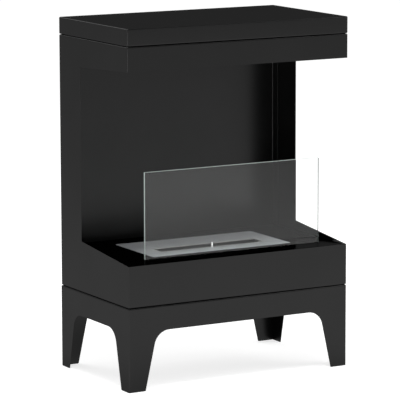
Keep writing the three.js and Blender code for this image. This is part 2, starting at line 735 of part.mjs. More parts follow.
/** Soft strip in the channel that the pane stands in. */
function glassSeal() {
  const section = channelSection(
    glass.y0 - sealOutside, glass.y1 + sealOutside,
    sealBottom, channelTop - sealBottom, SEAL_THICKNESS, SEAL_THICKNESS / 2);
  return prism('x', section, glass.x0, glass.x1);
}

addPiece('glass_channel', glassChannel(), zincSteel);
addPiece('glass_seal', glassSeal(), siliconeRubber);
addPiece('glass_pane', glassPane(), clearGlass);

export default fireplace;
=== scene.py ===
# %% [markdown]
# # A bioethanol fireplace in folded sheet steel
#
# The solids of the cabinet, the burner and the pane come ready made, in metres, with +Z up and
# the front facing -Y. This lesson gives each of them its finish, remakes the pieces whose small
# rounded edges catch the light, and then sets the camera and a plain white studio.

# %% Load the solids
import json
from math import cos, pi, radians, sin

import bmesh
import bpy
import numpy as np
from mathutils import Matrix, Vector


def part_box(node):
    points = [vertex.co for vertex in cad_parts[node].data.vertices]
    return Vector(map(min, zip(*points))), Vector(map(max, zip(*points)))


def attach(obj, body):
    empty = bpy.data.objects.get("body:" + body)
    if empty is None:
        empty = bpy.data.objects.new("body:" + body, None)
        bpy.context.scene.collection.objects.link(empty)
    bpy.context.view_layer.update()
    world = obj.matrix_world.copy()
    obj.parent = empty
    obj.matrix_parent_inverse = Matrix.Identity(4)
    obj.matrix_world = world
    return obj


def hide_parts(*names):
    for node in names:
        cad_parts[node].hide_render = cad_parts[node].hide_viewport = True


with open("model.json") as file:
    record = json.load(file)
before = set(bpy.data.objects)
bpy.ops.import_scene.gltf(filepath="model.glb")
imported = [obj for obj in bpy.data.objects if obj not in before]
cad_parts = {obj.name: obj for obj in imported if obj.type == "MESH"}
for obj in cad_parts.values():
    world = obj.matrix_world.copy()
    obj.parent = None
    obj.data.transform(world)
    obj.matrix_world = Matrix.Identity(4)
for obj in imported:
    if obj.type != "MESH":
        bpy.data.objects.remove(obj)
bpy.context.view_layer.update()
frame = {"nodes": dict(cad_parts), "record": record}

MM = 0.001

# %% [markdown]
# ## A small language for finishes
#
# A finish in Blender is a tree of nodes. Written out node by node it is long and hard to read,
# so two small classes do the wiring. A `Wire` is one output: `0.3 + 0.1 * cloud` adds the Math
# nodes that the sum needs. A `Finish` is one material, and its `node` method makes any node.

# %% Wires and finishes
class Wire:
    """One output of a finish's node tree, with Python's own + - * / and >."""

    def __init__(self, finish, socket):
        self.finish, self.socket = finish, socket

    def _maths(self, operation, first, second):
        return self.finish.node("Math", {"operation": operation}, {0: first, 1: second})

    def __add__(self, other):
        return self._maths("ADD", self, other)

    def __radd__(self, other):
        return self._maths("ADD", other, self)

    def __sub__(self, other):
        return self._maths("SUBTRACT", self, other)

    def __rsub__(self, other):
        return self._maths("SUBTRACT", other, self)

    def __mul__(self, other):
        return self._maths("MULTIPLY", self, other)

    def __rmul__(self, other):
        return self._maths("MULTIPLY", other, self)

    def __truediv__(self, other):
        return self._maths("DIVIDE", self, other)

    def __gt__(self, other):
        return self._maths("GREATER_THAN", self, other)


class Finish:
    """One material and its node tree."""

    def __init__(self, name, tree=None):
        if tree is None:
            self.material = bpy.data.materials.new(name)
            self.material.use_nodes = True
            tree = self.material.node_tree
        self.tree = tree
        self.tree.nodes.clear()

    def node(self, kind, settings=None, sockets=None, out=0):
        """Makes a node, sets its settings, then its sockets, and returns the output that out names."""
        made = self.tree.nodes.new("ShaderNode" + kind)
        for key, value in (settings or {}).items():
            setattr(made, key, value)
        for key, value in (sockets or {}).items():
            if isinstance(value, Wire):
                self.tree.links.new(value.socket, made.inputs[key])
            else:
                made.inputs[key].default_value = value
        return Wire(self, made.outputs[out]) if made.outputs else made

    def blend(self, mask, first, second):
        """Two colours, mixed by a mask from 0 to 1."""
        return self.node("Mix", {"data_type": "RGBA"}, {0: mask, 6: first, 7: second}, out=2)

    def place(self, scale=(1, 1, 1)):
        """The piece's own coordinates in metres, stretched along each axis."""
        here = self.node("TexCoord", out="Object")
        return self.node("Mapping", {}, {"Vector": here, "Scale": scale})

    def noise(self, scale, detail=2.0, roughness=0.5, stretch=(1, 1, 1)):
        """Soft random values about 0.5; scale is in patches per metre."""
        return self.node("TexNoise", {}, {
            "Vector": self.place(stretch), "Scale": scale, "Detail": detail, "Roughness": roughness,
        })

    def relief(self, height, depth, strength=1.0):
        """A normal bent by a height from 0 to 1 that stands for a depth in metres."""
        sockets = {"Height": height, "Distance": depth, "Strength": strength}
        return self.node("Bump", {}, sockets, out="Normal")

    def wear(self, shader, kind="Material"):
        """Puts a shader on the surface."""
        self.node("Output" + kind, {}, {"Surface": shader})
        return self.material if kind == "Material" else None


def grey(tone):
    return (tone, tone, tone, 1)


print("finish language ready")

# %% [markdown]
# ## Camera
#
# The picture was taken from the front left, a little above the lid, from far away: the upright
# edges hardly converge. A long lens at about 6.8 m gives that. The camera's three axes are
# worked out from its turn round the object, its height angle and a very small roll.

# %% Camera
CAMERA_AT = Vector((-3.3031, -5.8050, 1.5005))
TURN, HEIGHT_ANGLE, ROLL = radians(-29.563), radians(9.283), radians(-0.144)
LENS = 251.81


def camera_axes(turn, height_angle, roll):
    """Right, up and backwards. Backwards points from the object to the camera."""
    level = cos(height_angle)
    backwards = Vector((sin(turn) * level, -cos(turn) * level, sin(height_angle)))
    right = Vector((cos(turn), sin(turn), 0))
    up = backwards.cross(right)
    return cos(roll) * right + sin(roll) * up, cos(roll) * up - sin(roll) * right, backwards


camera = bpy.data.objects.new("camera", bpy.data.cameras.new("camera"))
bpy.context.scene.collection.objects.link(camera)
axes = Matrix(camera_axes(TURN, HEIGHT_ANGLE, ROLL)).transposed().to_4x4()
camera.matrix_world = Matrix.Translation(CAMERA_AT) @ axes
camera.data.lens = LENS
camera.data.sensor_width = 36
camera.data.clip_end = 100
bpy.context.scene.camera = camera
print("camera at", tuple(round(v, 3) for v in CAMERA_AT))

# %% [markdown]
# ## Studio
#
# Black metal shows hardly any colour of its own: what the eye reads as "satin black" is the
# white room, mirrored very weakly. So the room has to be white for mirrored rays as well as for
# the camera, while the light that falls on the object stays at a plain level. The Light Path
# node tells three kinds of rays apart: those that look at the room, those that a shiny surface
# has mirrored, and the rest, which only carry light. The strengths for mirrored rays are set
# until the black has its tone. They aren't the light of one real room.

# %% Studio room
def mirror_ray(finish):
    """1 for rays that a shiny surface has thrown back, even if they went through glass after it."""
    thrown_back = finish.node("LightPath", out="Glossy Depth") > 0.5
    return thrown_back * (1 - finish.node("LightPath", out="Is Diffuse Ray"))


def looking_ray(finish):
    """1 for rays that look at the room straight or through glass."""
    straight = finish.node("LightPath", out="Is Camera Ray")
    through = finish.node("LightPath", out="Is Transmission Ray")
    either = finish.node("Math", {"operation": "MAXIMUM"}, {0: straight, 1: through})
    return either * (1 - mirror_ray(finish))


ROOM_LIGHT = 0.5
BACKDROP_MIRRORED = 0.56
CAMERA_SIDE_MIRRORED = 0.16

world = bpy.data.worlds.new("studio")
world.use_nodes = True
bpy.context.scene.world = world
room = Finish("studio", world.node_tree)
# The direction of a ray: +Y points to the backdrop behind the object, -Y past the camera.
towards_back = room.node("SeparateXYZ", {}, {0: room.node("TexCoord", out="Generated")}, out="Y")
shown = room.node("MapRange", {"interpolation_type": "SMOOTHSTEP"}, {
    "Value": towards_back, "From Min": -0.5, "From Max": 0.5,
    "To Min": CAMERA_SIDE_MIRRORED, "To Max": BACKDROP_MIRRORED,
})
shine = mirror_ray(room)
brightness = room.node("Math", {"operation": "MAXIMUM"}, {
    0: ROOM_LIGHT * (1 - shine) + shown * shine, 1: looking_ray(room)})
room.wear(room.node("Background", {}, {"Color": grey(1), "Strength": brightness}), "World")

FLOOR_TONE = 0.5
FLOOR_GLOW = 0.76
MIRRORED_FAR = 0.765
MIRRORED_NEAR = 1.09
POOL_RING, POOL_WIDTH = 1.4, 1.75
UNDERNEATH = 0.45  # of the mirrored light is left on the floor between the legs
SHADE_FROM, SHADE_TO = 0.1, 0.55  # metres from the middle
FLOOR_HALF = 40
FLOOR_BELOW_FEET = 0.4 * MM


def studio_floor():
    """A pale matt floor with a glow that only looking rays see: it turns white and keeps its shadow.

    Mirrored, it is a ring of light round the object, with a shade in the middle, underneath:
    far + (near - far) * exp(-((distance - ring) / width)^2).
    """
    finish = Finish("studio floor")
    matt = finish.node("BsdfDiffuse", {}, {"Color": grey(FLOOR_TONE)})
    glow = finish.node("Emission", {}, {"Color": grey(1), "Strength": FLOOR_GLOW * looking_ray(finish)})
    here = finish.node("TexCoord", out="Object")
    distance = finish.node("VectorMath", {"operation": "LENGTH"}, {0: here}, out="Value")
    from_ring = (distance - POOL_RING) / POOL_WIDTH
    pool = finish.node("Math", {"operation": "EXPONENT"}, {0: 0 - from_ring * from_ring})
    shade = finish.node("MapRange", {"interpolation_type": "SMOOTHSTEP"}, {
        "Value": distance, "From Min": SHADE_FROM, "From Max": SHADE_TO, "To Min": UNDERNEATH, "To Max": 1.0,
    })
    ring = MIRRORED_FAR + (MIRRORED_NEAR - MIRRORED_FAR) * pool
    mirrored = finish.node("Emission", {}, {"Strength": ring * shade})
    direct = finish.node("AddShader", {}, {0: matt, 1: glow})
    return finish.wear(finish.node("MixShader", {}, {0: mirror_ray(finish), 1: direct, 2: mirrored}))


def flat_square(name, half, z):
    mesh = bpy.data.meshes.new(name)
    corners = [(-half, -half, z), (half, -half, z), (half, half, z), (-half, half, z)]
    mesh.from_pydata(corners, [], [(0, 1, 2, 3)])
    made = bpy.data.objects.new(name, mesh)
    bpy.context.scene.collection.objects.link(made)
    return made


floor = flat_square("floor", FLOOR_HALF, -FLOOR_BELOW_FEET)
floor.data.materials.append(studio_floor())


def soft_lamp(name, place, width, height, power, aim=(0, 0, 0.45)):
    """A rectangular area lamp that looks at a point of the object.

    It lights through the pane's shadow rays, so it is hidden from rays that go through glass:
    those would count it twice and add specks.
    """
    data = bpy.data.lights.new(name, "AREA")
    data.shape, data.size, data.size_y, data.energy = "RECTANGLE", width, height, power
    lamp = bpy.data.objects.new(name, data)
    bpy.context.scene.collection.objects.link(lamp)
    lamp.visible_transmission = False
    lamp.location = place
    lamp.rotation_euler = (Vector(aim) - Vector(place)).to_track_quat("-Z", "Y").to_euler()
    return lamp


soft_lamp("key lamp", (-0.5, -1.2, 4.3), 1.2, 1.2, 95)
soft_lamp("fill lamp", (3.2, -1.6, 2.6), 2.2, 2.2, 60)
soft_lamp("rear lamp", (-1.0, 3.4, 3.2), 2.0, 2.0, 50)
# A low strip beside the camera: only the round folds turn its light towards the viewer.
soft_lamp("strip lamp", (-2.37, -4.17, 0.52), 0.8, 0.9, 20, aim=(0, 0, 0.42))
print("studio: floor, room and 4 lamps")

# %% [markdown]
# ## Satin black powder coat
#
# Powder coat is melted plastic: a faint orange-peel waviness and an even satin sheen. On this
# black it scatters next to nothing; it mirrors about a thirtieth of the white room, and nearly
# the same share from every side. A Glossy shader does just that: it has one strength for all
# angles, where a dielectric would turn the lid pale at this low view.
# Faces that point up get a weaker strength of their own: a painted shade.

# %% Powder coat
FACING_UP = 0.9  # the upward part of a normal
CLOUDY_ROUGHNESS = 0.05
PEEL_STRENGTH = 0.35


def black_coat(name, darker, lighter, lid, roughness, patches, peel_size, peel_depth):
    """A finish and its shader: a black that only mirrors, in soft clouds of two strengths on the
    sides, and with a weaker strength of its own where it faces up: a painted shade."""
    finish = Finish(name)
    cloud = finish.noise(patches, detail=3)
    up = finish.node("SeparateXYZ", {}, {0: finish.node("TexCoord", out="Normal")}, out="Z")
    peel = finish.relief(finish.noise(peel_size, detail=1.5), peel_depth, PEEL_STRENGTH)

    def sheen(strength):
        return finish.node("BsdfAnisotropic", {}, {
            "Color": grey(strength), "Roughness": roughness + CLOUDY_ROUGHNESS * cloud, "Normal": peel,
        })

    sides = finish.node("MixShader", {}, {0: cloud, 1: sheen(darker), 2: sheen(lighter)})
    # Faces that point up take the strength lid: a painted shade, weaker than the sides'.
    return finish, finish.node("MixShader", {}, {0: up > FACING_UP, 1: sides, 2: sheen(lid)})


def powder_coat():
    # The third strength, 0.033, is the painted shade on faces that point up.
    finish, coat = black_coat("satin black powder coat", 0.034, 0.040, 0.033, 0.26, 7, 900, 0.02 * MM)
    return finish.wear(coat)


# %% [markdown]
# ## Gloss black hearth
#
# The hearth carries a glossier heat-proof black: it shows the pane's foot, the burner and the
# dark back panel as clear mirror images. The strip in front of the pane is seen once more, in the
# pane itself, at a very low angle, where gloss throws back far more light than it does from above.
# A coat of one strength can't do that, so for mirrored rays the strip is a plain glow of a given strength.

# %% Hearth coat
FRONT_STRIP_GLARE = 0.95


def hearth_coat(pane_front):
    """pane_front is the y of the pane's front face."""
    # The third strength, 0.024, is the painted shade on faces that point up.
    finish, coat = black_coat("gloss black hearth coat", 0.024, 0.028, 0.024, 0.11, 5, 300, 0.01 * MM)
    y = finish.node("SeparateXYZ", {}, {0: finish.node("TexCoord", out="Object")}, out="Y")
    in_front = 1 - (y > pane_front)
    glare = finish.node("Emission", {}, {"Strength": FRONT_STRIP_GLARE})
    return finish.wear(finish.node("MixShader", {}, {0: in_front * mirror_ray(finish), 1: coat, 2: glare}))


# %% [markdown]
# ## Stainless steel
#
# The burner's cover plate is brushed along its length: fine streaks in tone and in roughness.
# Noise that is squeezed along X makes them. Close round the slot the flames leave a faint straw
# tint. The box, the tank and the slide keep the dull grain of the mill.

# %% Stainless finishes
HEAT_TINT = 0.22
HEAT_REACH = 22 * MM
PLATE_MIRROR_SHARE = 0.55
PIN_GLOW = 0.42


def brushed_plate(slot_box):
    """slot_box is (x0, x1, y0, y1) of the fuel slot, in metres."""
    finish = Finish("brushed stainless plate")
    streaks = finish.noise(40, detail=4, roughness=0.65, stretch=(0.6, 26, 26))
    cloud = finish.noise(14, detail=2)
    x0, x1, y0, y1 = slot_box
    here = finish.node("TexCoord", out="Object")
    x = finish.node("SeparateXYZ", {}, {0: here}, out="X")
    y = finish.node("SeparateXYZ", {}, {0: here}, out="Y")

    def beyond(value, low, high):
        return finish.node("Math", {"operation": "ABSOLUTE"}, {0: value - (low + high) / 2}) - (high - low) / 2

    farthest = finish.node("Math", {"operation": "MAXIMUM"}, {0: beyond(x, x0, x1), 1: beyond(y, y0, y1)})
    heat = finish.node("MapRange", {"interpolation_type": "SMOOTHSTEP"}, {
        "Value": farthest + 6 * MM * (cloud - 0.5),
        "From Min": 0.0, "From Max": HEAT_REACH, "To Min": HEAT_TINT, "To Max": 0.0,
    })
    steel = finish.blend(streaks, (0.60, 0.615, 0.64, 1), (0.72, 0.735, 0.755, 1))
    grain = finish.relief(streaks, 0.02 * MM, 0.5)
    brushed = finish.node("BsdfPrincipled", {}, {
        "Base Color": finish.blend(heat, steel, (0.52, 0.46, 0.36, 1)),
        "Roughness": 0.6,
        "Specular IOR Level": 0.0,
        "Normal": grain,
    })
    mirror = finish.node("BsdfAnisotropic", {}, {
        "Color": grey(0.85), "Roughness": 0.05 + 0.06 * streaks, "Normal": grain,
    })
    return finish.wear(finish.node("MixShader", {}, {0: PLATE_MIRROR_SHARE, 1: brushed, 2: mirror}))


def mill_stainless():
    finish = Finish("mill-finish stainless")
    grain = finish.noise(1300, detail=3)
    cloud = finish.noise(18, detail=3)
    return finish.wear(finish.node("BsdfPrincipled", {}, {
        "Base Color": finish.blend(cloud, (0.21, 0.215, 0.22, 1), (0.27, 0.275, 0.28, 1)),
        "Metallic": 1.0,
        "Roughness": 0.36 + 0.10 * cloud,
        "Normal": finish.relief(grain, 0.01 * MM, 0.4),
    }))


def polished_pin():
    """Polished steel with very fine turning marks round its axis. Its faint glow stands in for the
    highlight of a pin so thin, and its strength is given."""
    finish = Finish("polished pin")
    marks = finish.noise(60, detail=2, stretch=(1, 1, 90))
    return finish.wear(finish.node("BsdfPrincipled", {}, {
        "Base Color": (0.96, 0.965, 0.97, 1),
        "Metallic": 1.0,
        "Roughness": 0.32 + 0.06 * marks,
        "Emission Color": grey(1),
        "Emission Strength": PIN_GLOW,
        "Normal": finish.relief(marks, 0.01 * MM, 0.3),
    }))


# %% [markdown]
# ## Zinc, silicone and fibre
#
# Bolts and the pane's channel are bright zinc plated, with a slightly blotched tone. The strip
# in the channel is matt black silicone. The fuel soaks into a block of white ceramic fibre,
# whose matted strands are noise at two scales.

# %% Small finishes
def zinc_plate():
    finish = Finish("bright zinc plate")
    cells = {"Vector": finish.place(), "Scale": 260.0}
    blotch = finish.node("TexVoronoi", {"feature": "SMOOTH_F1"}, cells, out="Distance")
    return finish.wear(finish.node("BsdfPrincipled", {}, {
        "Base Color": finish.blend(blotch, (0.52, 0.54, 0.57, 1), (0.66, 0.66, 0.64, 1)),
        "Metallic": 1.0,
        "Roughness": 0.26 + 0.16 * blotch,
        "Normal": finish.relief(finish.noise(2500), 0.01 * MM, 0.4),
    }))


def black_silicone():
    finish = Finish("black silicone")
    bloom = finish.noise(120, detail=4)
    return finish.wear(finish.node("BsdfPrincipled", {}, {
        "Base Color": finish.blend(bloom, grey(0.012), grey(0.024)),
        "Roughness": 0.55 + 0.2 * bloom,
        "Normal": finish.relief(finish.noise(1800), 0.02 * MM, 0.5),
    }))


def ceramic_fibre():
    finish = Finish("ceramic fibre")
    strands = finish.noise(420, detail=6, roughness=0.75, stretch=(0.35, 1, 1))
    blotch = finish.noise(45, detail=3)
    return finish.wear(finish.node("BsdfPrincipled", {}, {
        "Base Color": finish.blend(blotch * strands, (0.80, 0.76, 0.68, 1), (0.90, 0.89, 0.86, 1)),
        "Roughness": 0.95,
        "Normal": finish.relief(strands, 0.6 * MM, 0.8),
    }))


# %% [markdown]
# ## Clear glass with ground edges
#
# The faces of the pane are clear; its edges are ground, so they scatter light and look pale
# green-grey. The piece's own normal tells them apart: on the two faces it points along Y. Real
# glass has an IOR of about 1.52; a lower one is used so that the faces mirror less.

# %% Glass
GLASS_IOR = 1.375
ACROSS_FACE = 0.9  # the part of a face's normal along Y


def pane_glass():
    finish = Finish("clear toughened glass")
    normal = finish.node("TexCoord", out="Normal")
    along_y = finish.node("SeparateXYZ", {}, {0: normal}, out="Y")
    on_face = finish.node("Math", {"operation": "ABSOLUTE"}, {0: along_y}) > ACROSS_FACE
    smear = finish.noise(22, detail=3)
    clear = finish.node("BsdfPrincipled", {}, {
        "Base Color": finish.blend(smear, (0.955, 0.975, 0.965, 1), (0.99, 1, 0.995, 1)),
        "Roughness": 0.0,
        "IOR": GLASS_IOR,
        "Transmission Weight": 1.0,
    })
    ground_outside = finish.node("BsdfPrincipled", {}, {
        "Base Color": finish.blend(finish.noise(500), (0.62, 0.72, 0.68, 1), (0.76, 0.84, 0.80, 1)),
        "Roughness": 0.45,
        "IOR": 1.38,
        "Transmission Weight": 0.1,
    })
    # From within, through a face, a ground edge is drawn in a dark green-grey matt: a painted shade, a darker
    # copy of the edge's finish.
    edge_within_painted_shade = finish.node("BsdfDiffuse", {}, {"Color": (0.05, 0.065, 0.06, 1)})
    inside = finish.node("NewGeometry", out="Backfacing")
    ground = finish.node("MixShader", {}, {0: inside, 1: ground_outside, 2: edge_within_painted_shade})
    pane = finish.node("MixShader", {}, {0: 1 - on_face, 1: clear, 2: ground})
    # A lamp's shadow rays go straight through: glass would otherwise turn them into bright specks.
    shadow = finish.node("LightPath", out="Is Shadow Ray")
    passed = finish.node("BsdfTransparent", {}, {"Color": (0.9, 0.93, 0.92, 1)})
    return finish.wear(finish.node("MixShader", {}, {0: shadow, 1: pane, 2: passed}))


# %% Finish for every solid
plate_low, plate_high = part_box("burner_plate")
tank_low, tank_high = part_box("fuel_tank")
TANK_BEYOND_SLOT = 13 * MM
slot_box = (tank_low.x + TANK_BEYOND_SLOT, tank_high.x - TANK_BEYOND_SLOT,
            tank_low.y + TANK_BEYOND_SLOT, tank_high.y - TANK_BEYOND_SLOT)
print("fuel slot (mm):", [round(v / MM, 1) for v in slot_box])

finishes = {
    "powder_coat": powder_coat(),
    "hearth_gloss": hearth_coat(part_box("glass_pane")[0].y),
    "stainless": mill_stainless(),
    "polished_pin": polished_pin(),
    "zinc_steel": zinc_plate(),
    "clear_glass": pane_glass(),
    "silicone": black_silicone(),
    "ceramic_fibre": ceramic_fibre(),
}
plate_finish = brushed_plate(slot_box)

for entry in frame["record"]["subparts"]:
    solid = frame["nodes"][entry["node"]]
    solid.data.materials.clear()
    solid.data.materials.append(finishes[entry["material_slot"]])
frame["nodes"]["burner_plate"].data.materials[0] = plate_finish

# %% [markdown]
# ## Surfaces from arrays
#
# A new piece is a grid of points, worked out as whole arrays. One function turns the grid into
# quads, and one makes the object, merges what meets at a pole or a seam, and points every face
# outwards.

# %% Grid helpers
def grid_quads(rows, columns, closed_rows=False, closed_columns=False):
    """Corner numbers of the quads between neighbours; a closed direction also joins last to first."""
    i, j = np.meshgrid(np.arange(rows - (not closed_rows)),
                       np.arange(columns - (not closed_columns)), indexing="ij")
    i2, j2 = (i + 1) % rows, (j + 1) % columns
    corners = [i * columns + j, i * columns + j2, i2 * columns + j2, i2 * columns + j]
    return np.stack(corners, -1).reshape(-1, 4)


def make_piece(name, points, faces, finish, sharp=30):
    """An object at the origin from points (..., 3) and faces. Edges over sharp degrees stay sharp."""
    mesh = bpy.data.meshes.new(name)
    corners = np.asarray(points).reshape(-1, 3).tolist()
    mesh.from_pydata(corners, [], [list(map(int, f)) for f in faces])
    shape = bmesh.new()
    shape.from_mesh(mesh)
    bmesh.ops.remove_doubles(shape, verts=shape.verts, dist=1e-7)
    bmesh.ops.recalc_face_normals(shape, faces=shape.faces)
    shape.to_mesh(mesh)
    shape.free()
    mesh.shade_smooth()
    mesh.set_sharp_from_angle(angle=radians(sharp))
    mesh.materials.append(finish)
    made = bpy.data.objects.new(name, mesh)
    bpy.context.scene.collection.objects.link(made)
    made.modifiers.new("flat faces stay flat", "WEIGHTED_NORMAL").keep_sharp = True
    return made


def stand_for(piece, node, body):
    """The piece is shown in place of a solid and moves with a body."""
    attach(piece, body)
    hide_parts(node)
    print(f"{piece.name}: {len(piece.data.polygons)} faces for {node}")
    return piece


def round_rectangle(x0, x1, y0, y1, radius, per_corner=6):
    """Points (n, 2) round a rectangle, and the outward direction at each.

    In every corner a point is centre + radius * (cos a, sin a), with a over a quarter turn.
    """
    a = np.linspace(0, pi / 2, per_corner) + (pi / 2) * np.arange(4)[:, None]
    out = np.stack([np.cos(a), np.sin(a)], -1)
    centre = np.array([(x1 - radius, y1 - radius), (x0 + radius, y1 - radius),
                       (x0 + radius, y0 + radius), (x1 - radius, y0 + radius)])
    return (centre[:, None] + radius * out).reshape(-1, 2), out.reshape(-1, 2)


def edge_round(thickness, radius, steps=4):
    """Profile (inset, height) over the edge of a sheet: a quarter round, the edge, a quarter round back."""
    a = np.linspace(0, pi / 2, steps)
    lower = np.stack([radius * (1 - np.sin(a)), radius * (1 - np.cos(a))], -1)
    upper = np.stack([lower[::-1, 0], thickness - lower[::-1, 1]], -1)
    return np.concatenate([lower, upper])


# %% [markdown]
# ## Folded sheets
#
# The solids have each fold as a few flat strips and each cut edge dead sharp. Real folds are
# smooth and real cuts are broken with a file. So every sheet is copied, its strips are shaded as
# one round, and its sharp edges get a bevel of a few tenths of a millimetre. A fold's round is
# where black metal shows its brightest line.

# %% Sheets with smooth folds and broken edges
BROKEN_EDGE = 0.25 * MM
THIN_BROKEN_EDGE = 0.15 * MM
FOLD_STRIP = 30  # degrees: strips of one fold meet at less than this
CUT_EDGE = 50  # degrees: edges sharper than this are broken


def deburred(node, name, body, slot, broken):
    """A copy of a sheet: coplanar triangles are dissolved, folds shaded smooth, sharp edges bevelled."""
    mesh = frame["nodes"][node].data.copy()
    mesh.name = name
    mesh.materials.clear()
    mesh.materials.append(finishes[slot])
    shape = bmesh.new()
    shape.from_mesh(mesh)
    bmesh.ops.remove_doubles(shape, verts=shape.verts, dist=0.002 * MM)
    bmesh.ops.dissolve_limit(shape, angle_limit=radians(0.5), verts=shape.verts, edges=shape.edges)
    shape.to_mesh(mesh)
    shape.free()
    mesh.shade_smooth()
    mesh.set_sharp_from_angle(angle=radians(FOLD_STRIP))
    copy = bpy.data.objects.new(name, mesh)
    bpy.context.scene.collection.objects.link(copy)
    bevel = copy.modifiers.new("broken edges", "BEVEL")
    bevel.width, bevel.segments = broken, 2
    bevel.limit_method, bevel.angle_limit = "ANGLE", radians(CUT_EDGE)
    bevel.harden_normals = True
    copy.modifiers.new("flat faces stay flat", "WEIGHTED_NORMAL").keep_sharp = True
    return stand_for(copy, node, body)


SHEETS = [
    ("cabinet", "powder_coat", BROKEN_EDGE, [
        ("leg_frame", "leg_frame"), ("leg_frame_rear_apron", "rear_apron"),
        ("body_shell", "cabinet_wrap"), ("back_panel", "back"), ("top_cap", "lid"),
        ("bottom_panel", "bottom"), ("hood_baffle", "baffle"),
        ("baffle_rail_left", "left_rail"), ("baffle_rail_right", "right_rail"),
    ]),
    ("cabinet", "hearth_gloss", BROKEN_EDGE, [("hearth_plate", "hearth")]),
    ("cabinet", "zinc_steel", BROKEN_EDGE, [("glass_channel", "channel")]),
    ("burner", "stainless", THIN_BROKEN_EDGE, [
        ("burner_box", "spill_box"), ("fuel_tank", "tank"),
        ("damper_runner_left", "left_runner"), ("damper_runner_right", "right_runner"),
    ]),
    ("damper", "stainless", THIN_BROKEN_EDGE, [("damper_slide", "slide")]),
]
for body, slot, broken, sheets in SHEETS:
    for node, name in sheets:
        deburred(node, f"{name}_with_broken_edges", body, slot, broken)

# %% [markdown]
# ## The glass pane
#
# A pane is an outline with a profile carried round it: face, ground arris, edge, ground arris,
# face. The outline has small rounded corners, as toughened glass always has.

# %% Pane
PANE_CORNER = 1.5 * MM
PANE_ARRIS = 0.7 * MM


def slab_round(low, high, corner, arris):
    """Upright slab: point (s, t) is outline(s) moved inwards by inset(t), at depth(t)."""
    ring, out = round_rectangle(low.x, high.x, low.z, high.z, corner)
    profile = edge_round(high.y - low.y, arris)
    flat = ring[:, None] - profile[None, :, :1] * out[:, None]
    depth = np.broadcast_to(low.y + profile[:, 1], flat.shape[:2])
    points = np.stack([flat[..., 0], depth, flat[..., 1]], -1)
    rows, columns = points.shape[:2]
    first = np.arange(rows) * columns
    faces = [*grid_quads(rows, columns, closed_rows=True), first, first + columns - 1]
    return points, faces


pane_shape = slab_round(*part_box("glass_pane"), PANE_CORNER, PANE_ARRIS)
pane = make_piece("pane_with_ground_edges", *pane_shape, finishes["clear_glass"])
stand_for(pane, "glass_pane", "pane")

# %% [markdown]
# ## The burner's cover plate
#
# A flat ring between two outlines: the plate's own and the slot's. The section goes once round
# through the metal, over a small round at each edge, so the rims catch a thin line of light.

# %% Cover plate
PLATE_CORNER = 2.5 * MM
SLOT_CORNER = 2 * MM
RIM_ROUND = 0.35 * MM


def ring_plate(low, high, hole, corner, hole_corner, rim):
    """Point (s, t): t runs up the slot's edge, out over the top, down the outer edge and back below."""
    outer, outer_out = round_rectangle(low.x, high.x, low.y, high.y, corner)
    inner, inner_out = round_rectangle(*hole, hole_corner)
    profile = edge_round(high.z - low.z, rim)
    slot_side = inner[:, None] + profile[None, :, :1] * inner_out[:, None]
    outside = outer[:, None] - profile[None, ::-1, :1] * outer_out[:, None]
    flat = np.concatenate([slot_side, outside], 1)
    z = low.z + np.concatenate([profile[:, 1], profile[::-1, 1]])
    points = np.concatenate([flat, np.broadcast_to(z[None, :, None], (*flat.shape[:2], 1))], -1)
    return points, grid_quads(*points.shape[:2], closed_rows=True, closed_columns=True)


cover_shape = ring_plate(plate_low, plate_high, slot_box, PLATE_CORNER, SLOT_CORNER, RIM_ROUND)
cover = make_piece("brushed_cover_plate", *cover_shape, plate_finish)
stand_for(cover, "burner_plate", "burner")

# %% [markdown]
# ## The damper's pin
#
# A turned pin: a profile swung round an upright axis. Its top edge has a small round, and its
# thin tenon goes through the slide.

# %% Pin
def revolve(x, y, profile, sides=32):
    """Point (s, t) = (x + r(t) cos s, y + r(t) sin s, z(t)) for a profile of (r, z)."""
    profile = np.asarray(profile, float)
    s = np.linspace(0, 2 * pi, sides, endpoint=False)[:, None]
    r, z = profile[None, :, 0], profile[None, :, 1]
    points = np.stack([x + r * np.cos(s), y + r * np.sin(s), np.broadcast_to(z, (sides, z.shape[1]))], -1)
    return points, grid_quads(sides, len(profile), closed_rows=True)


pin_low, pin_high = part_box("damper_pin")
PIN_RADIUS = (pin_high.x - pin_low.x) / 2
TENON_RADIUS = 1.2 * MM
SHOULDER = 1.8 * MM
TOP_ROUND = 0.5 * MM
turn = np.linspace(0, pi / 2, 5)
pin_profile = [
    (0, pin_low.z), (TENON_RADIUS, pin_low.z), (TENON_RADIUS, pin_low.z + SHOULDER),
    (PIN_RADIUS, pin_low.z + SHOULDER),
    *zip(PIN_RADIUS - TOP_ROUND * (1 - np.cos(turn)), pin_high.z - TOP_ROUND * (1 - np.sin(turn))),
    (0, pin_high.z),
]
pin_shape = revolve((pin_low.x + pin_high.x) / 2, (pin_low.y + pin_high.y) / 2, pin_profile)
pin = make_piece("turned_pin", *pin_shape, finishes["polished_pin"], sharp=40)
stand_for(pin, "damper_pin", "damper")

# %% [markdown]
# ## Bolts, nuts and screws
#
# A fastener is also a profile swung round an axis, only its radius may change on the way round:
# six flats for a socket or a nut, and a slope of one pitch in a turn for a thread.

# %% Fasteners
AROUND = 48


def six_flats(apothem, angle):
    """Radius of a hexagon at an angle: apothem / cos(angle to the middle of the nearest flat)."""
    return apothem / np.cos((angle + pi / 6) % (pi / 3) - pi / 6)


def thread(crest, depth, pitch, angle, z):
    """Radius of a thread: crest - depth * |2 frac(z / pitch - angle / 2 pi) - 1|."""
    return crest - depth * np.abs(2 * ((z / pitch - angle / (2 * pi)) % 1) - 1)


def swung(x, y, rows):
    """Surface from rows of (radius, z); a radius is a number or a function of the angle."""
    angle = np.linspace(0, 2 * pi, AROUND, endpoint=False)
    radius = np.stack([r(angle) if callable(r) else np.full(AROUND, r) for r, _ in rows])
    z = np.array([z for _, z in rows])[:, None]
    across, along = x + radius * np.cos(angle), y + radius * np.sin(angle)
    return np.stack([across, along, np.broadcast_to(z, radius.shape)], -1)


